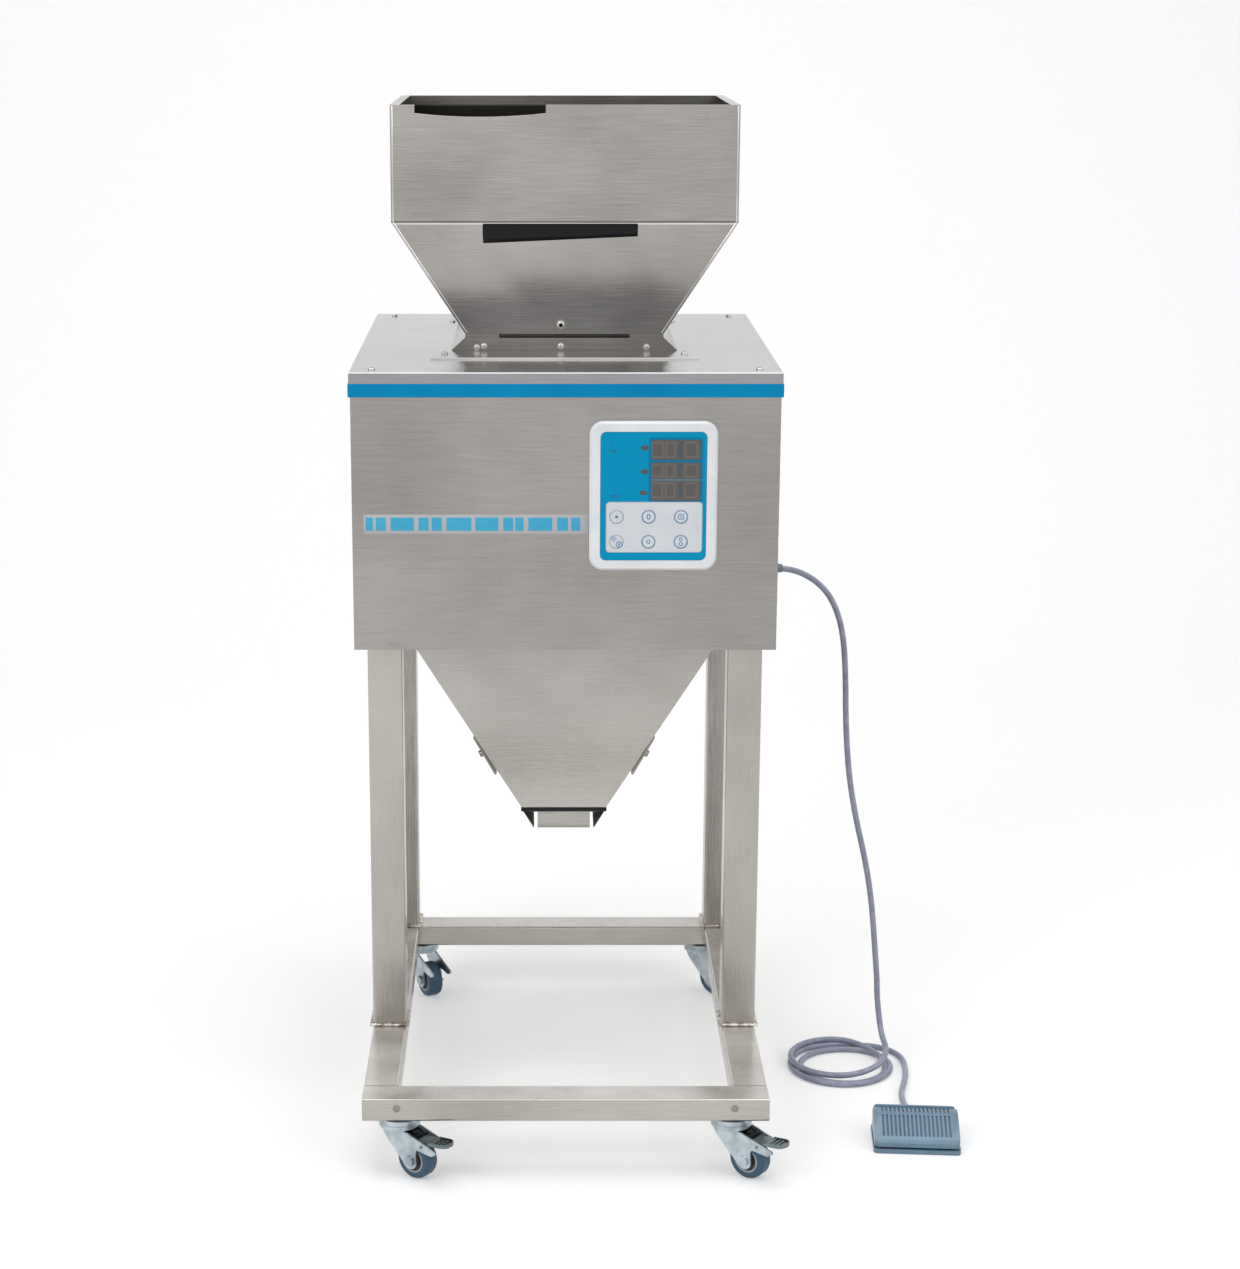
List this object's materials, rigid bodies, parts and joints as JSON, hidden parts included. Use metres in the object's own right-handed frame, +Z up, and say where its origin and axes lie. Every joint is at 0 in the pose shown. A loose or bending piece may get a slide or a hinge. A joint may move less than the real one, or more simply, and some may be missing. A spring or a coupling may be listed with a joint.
{
  "type": "powder dosing machine",
  "caption": "Floor-standing powder weigher and filler: square hopper over a sheet-metal cabinet with keypad, funnel outlet, castered tube stand and a cabled foot switch.",
  "frame": {"origin": "on the floor, midway between the four caster swivel axes", "axes": "+X to the operator's right when facing the panel, +Y to the back, +Z up"},
  "size_m": [0.6683, 0.7269, 1.113],
  "materials": {
    "brushed_stainless": "brushed stainless sheet",
    "zinc_plate": "blue zinc plated pressing",
    "blue_enamel": "gloss enamel strip",
    "black_pane": "dark acrylic pane",
    "white_abs": "moulded housing",
    "blue_face": "printed membrane face",
    "display_pane": "smoked display window",
    "key_pad": "domed membrane key",
    "circuit_board": "circuit board",
    "grey_casting": "painted steel block",
    "spring_leaf": "spring steel leaf",
    "cell_aluminium": "machined bar",
    "motor_case": "gear motor case",
    "black_rubber": "rubber frame",
    "black_plastic": "moulded black plastic",
    "rocker_plastic": "moulded rocker",
    "gland_nylon": "nylon gland",
    "cord_sheath": "grey-violet sheath",
    "pedal_paint": "grey-blue baked paint",
    "tyre_rubber": "slate-blue moulded tyre"
  },
  "bodies": {
    "machine": {"base_tubes": "brushed_stainless", "legs": "brushed_stainless", "cabinet_shell": "brushed_stainless", "cabinet_floor": "brushed_stainless", "rear_cover": "brushed_stainless", "cabinet_lid": "brushed_stainless", "hopper_front_plate": "brushed_stainless", "hopper_rear_plate": "brushed_stainless", "hopper_side_plates": "brushed_stainless", "gate_frame": "brushed_stainless", "feed_collar": "brushed_stainless", "cover_plate": "brushed_stainless", "weigh_bucket": "brushed_stainless", "discharge_funnel": "brushed_stainless", "funnel_side_plates": "brushed_stainless", "discharge_chute": "brushed_stainless", "load_cell_stand": "brushed_stainless", "front_screws": "brushed_stainless", "top_screws": "brushed_stainless", "caster_mounts": "zinc_plate", "blue_band": "blue_enamel", "sight_window": "black_pane", "panel_bezel": "white_abs", "panel_overlay": "blue_face", "display_windows": "display_pane", "control_board": "circuit_board", "feeder_base": "grey_casting", "leaf_springs": "spring_leaf", "load_cell": "cell_aluminium", "door_motor": "motor_case", "outlet_seal": "black_rubber", "power_inlet": "black_plastic", "cable_gland": "gland_nylon", "cord_drop": "cord_sheath", "cord_coil": "cord_sheath", "cord_tail": "cord_sheath", "pedal_base": "pedal_paint", "pedal_pin": "zinc_plate", "pedal_switch": "black_plastic"},
    "gate": {"flow_gate": "brushed_stainless"},
    "tray": {"feeder_tray": "brushed_stainless"},
    "door": {"bucket_door": "brushed_stainless"},
    "rocker": {"power_rocker": "rocker_plastic"},
    "treadle": {"pedal_treadle": "pedal_paint"},
    "key1": {"key_1": "key_pad"},
    "key2": {"key_2": "key_pad"},
    "key3": {"key_3": "key_pad"},
    "key4": {"key_4": "key_pad"},
    "key5": {"key_5": "key_pad"},
    "key6": {"key_6": "key_pad"},
    "caster_front_left": {"fork_front_left": "zinc_plate"},
    "wheel_front_left": {"wheel_front_left": "tyre_rubber"},
    "brake_front_left": {"brake_pedal_front_left": "zinc_plate"},
    "caster_front_right": {"fork_front_right": "zinc_plate"},
    "wheel_front_right": {"wheel_front_right": "tyre_rubber"},
    "brake_front_right": {"brake_pedal_front_right": "zinc_plate"},
    "caster_rear_left": {"fork_rear_left": "zinc_plate"},
    "wheel_rear_left": {"wheel_rear_left": "tyre_rubber"},
    "caster_rear_right": {"fork_rear_right": "zinc_plate"},
    "wheel_rear_right": {"wheel_rear_right": "tyre_rubber"}
  },
  "joints": [
    {"name": "gate_slide", "type": "slide", "parent": "machine", "child": "gate", "axis": [0, -1, 0], "range_m": [0, 0.12]},
    {"name": "tray_shake", "type": "slide", "parent": "machine", "child": "tray", "axis": [0, 1, 0], "range_m": [-0.0005, 0.0005], "stiffness_N_per_m": 40000},
    {"name": "bucket_door_hinge", "type": "hinge", "parent": "machine", "child": "door", "pos_m": [0, 0.074, 0.597], "axis": [1, 0, 0], "range_deg": [0, 75]},
    {"name": "rocker_tip", "type": "hinge", "parent": "machine", "child": "rocker", "pos_m": [0.15, 0.411, 0.6135], "axis": [1, 0, 0], "range_deg": [-16, 0]},
    {"name": "treadle_press", "type": "hinge", "parent": "machine", "child": "treadle", "pos_m": [0.38874, -0.16906, 0.0125], "axis": [0.9976, -0.0698, 0], "range_deg": [0, 2.1], "stiffness_Nm_per_rad": 4, "springref_deg": -2.86},
    {"name": "key1_press", "type": "slide", "parent": "machine", "child": "key1", "axis": [0, 1, 0], "range_m": [0, 0.0005], "stiffness_N_per_m": 3000},
    {"name": "key2_press", "type": "slide", "parent": "machine", "child": "key2", "axis": [0, 1, 0], "range_m": [0, 0.0005], "stiffness_N_per_m": 3000},
    {"name": "key3_press", "type": "slide", "parent": "machine", "child": "key3", "axis": [0, 1, 0], "range_m": [0, 0.0005], "stiffness_N_per_m": 3000},
    {"name": "key4_press", "type": "slide", "parent": "machine", "child": "key4", "axis": [0, 1, 0], "range_m": [0, 0.0005], "stiffness_N_per_m": 3000},
    {"name": "key5_press", "type": "slide", "parent": "machine", "child": "key5", "axis": [0, 1, 0], "range_m": [0, 0.0005], "stiffness_N_per_m": 3000},
    {"name": "key6_press", "type": "slide", "parent": "machine", "child": "key6", "axis": [0, 1, 0], "range_m": [0, 0.0005], "stiffness_N_per_m": 3000},
    {"name": "front_left_swivel", "type": "hinge", "parent": "machine", "child": "caster_front_left", "pos_m": [-0.178, -0.263, 0.0587], "axis": [0, 0, 1], "continuous": true},
    {"name": "front_left_roll", "type": "hinge", "parent": "caster_front_left", "child": "wheel_front_left", "pos_m": [-0.1583, -0.27839, 0.0215], "axis": [0.6157, 0.788, 0], "continuous": true},
    {"name": "front_left_brake", "type": "hinge", "parent": "caster_front_left", "child": "brake_front_left", "pos_m": [-0.14569, -0.28824, 0.042], "axis": [0.6157, 0.788, 0], "range_deg": [0, 10]},
    {"name": "front_right_swivel", "type": "hinge", "parent": "machine", "child": "caster_front_right", "pos_m": [0.178, -0.263, 0.0587], "axis": [0, 0, 1], "continuous": true},
    {"name": "front_right_roll", "type": "hinge", "parent": "caster_front_right", "child": "wheel_front_right", "pos_m": [0.1977, -0.27839, 0.0215], "axis": [0.6157, 0.788, 0], "continuous": true},
    {"name": "front_right_brake", "type": "hinge", "parent": "caster_front_right", "child": "brake_front_right", "pos_m": [0.21031, -0.28824, 0.042], "axis": [0.6157, 0.788, 0], "range_deg": [0, 10]},
    {"name": "rear_left_swivel", "type": "hinge", "parent": "machine", "child": "caster_rear_left", "pos_m": [-0.178, 0.263, 0.0587], "axis": [0, 0, 1], "continuous": true},
    {"name": "rear_left_roll", "type": "hinge", "parent": "caster_rear_left", "child": "wheel_rear_left", "pos_m": [-0.16626, 0.24093, 0.0215], "axis": [0.8829, 0.4695, 0], "continuous": true},
    {"name": "rear_right_swivel", "type": "hinge", "parent": "machine", "child": "caster_rear_right", "pos_m": [0.178, 0.263, 0.0587], "axis": [0, 0, 1], "continuous": true},
    {"name": "rear_right_roll", "type": "hinge", "parent": "caster_rear_right", "child": "wheel_rear_right", "pos_m": [0.19658, 0.24627, 0.0215], "axis": [0.6691, 0.7431, 0], "continuous": true}
  ]
}
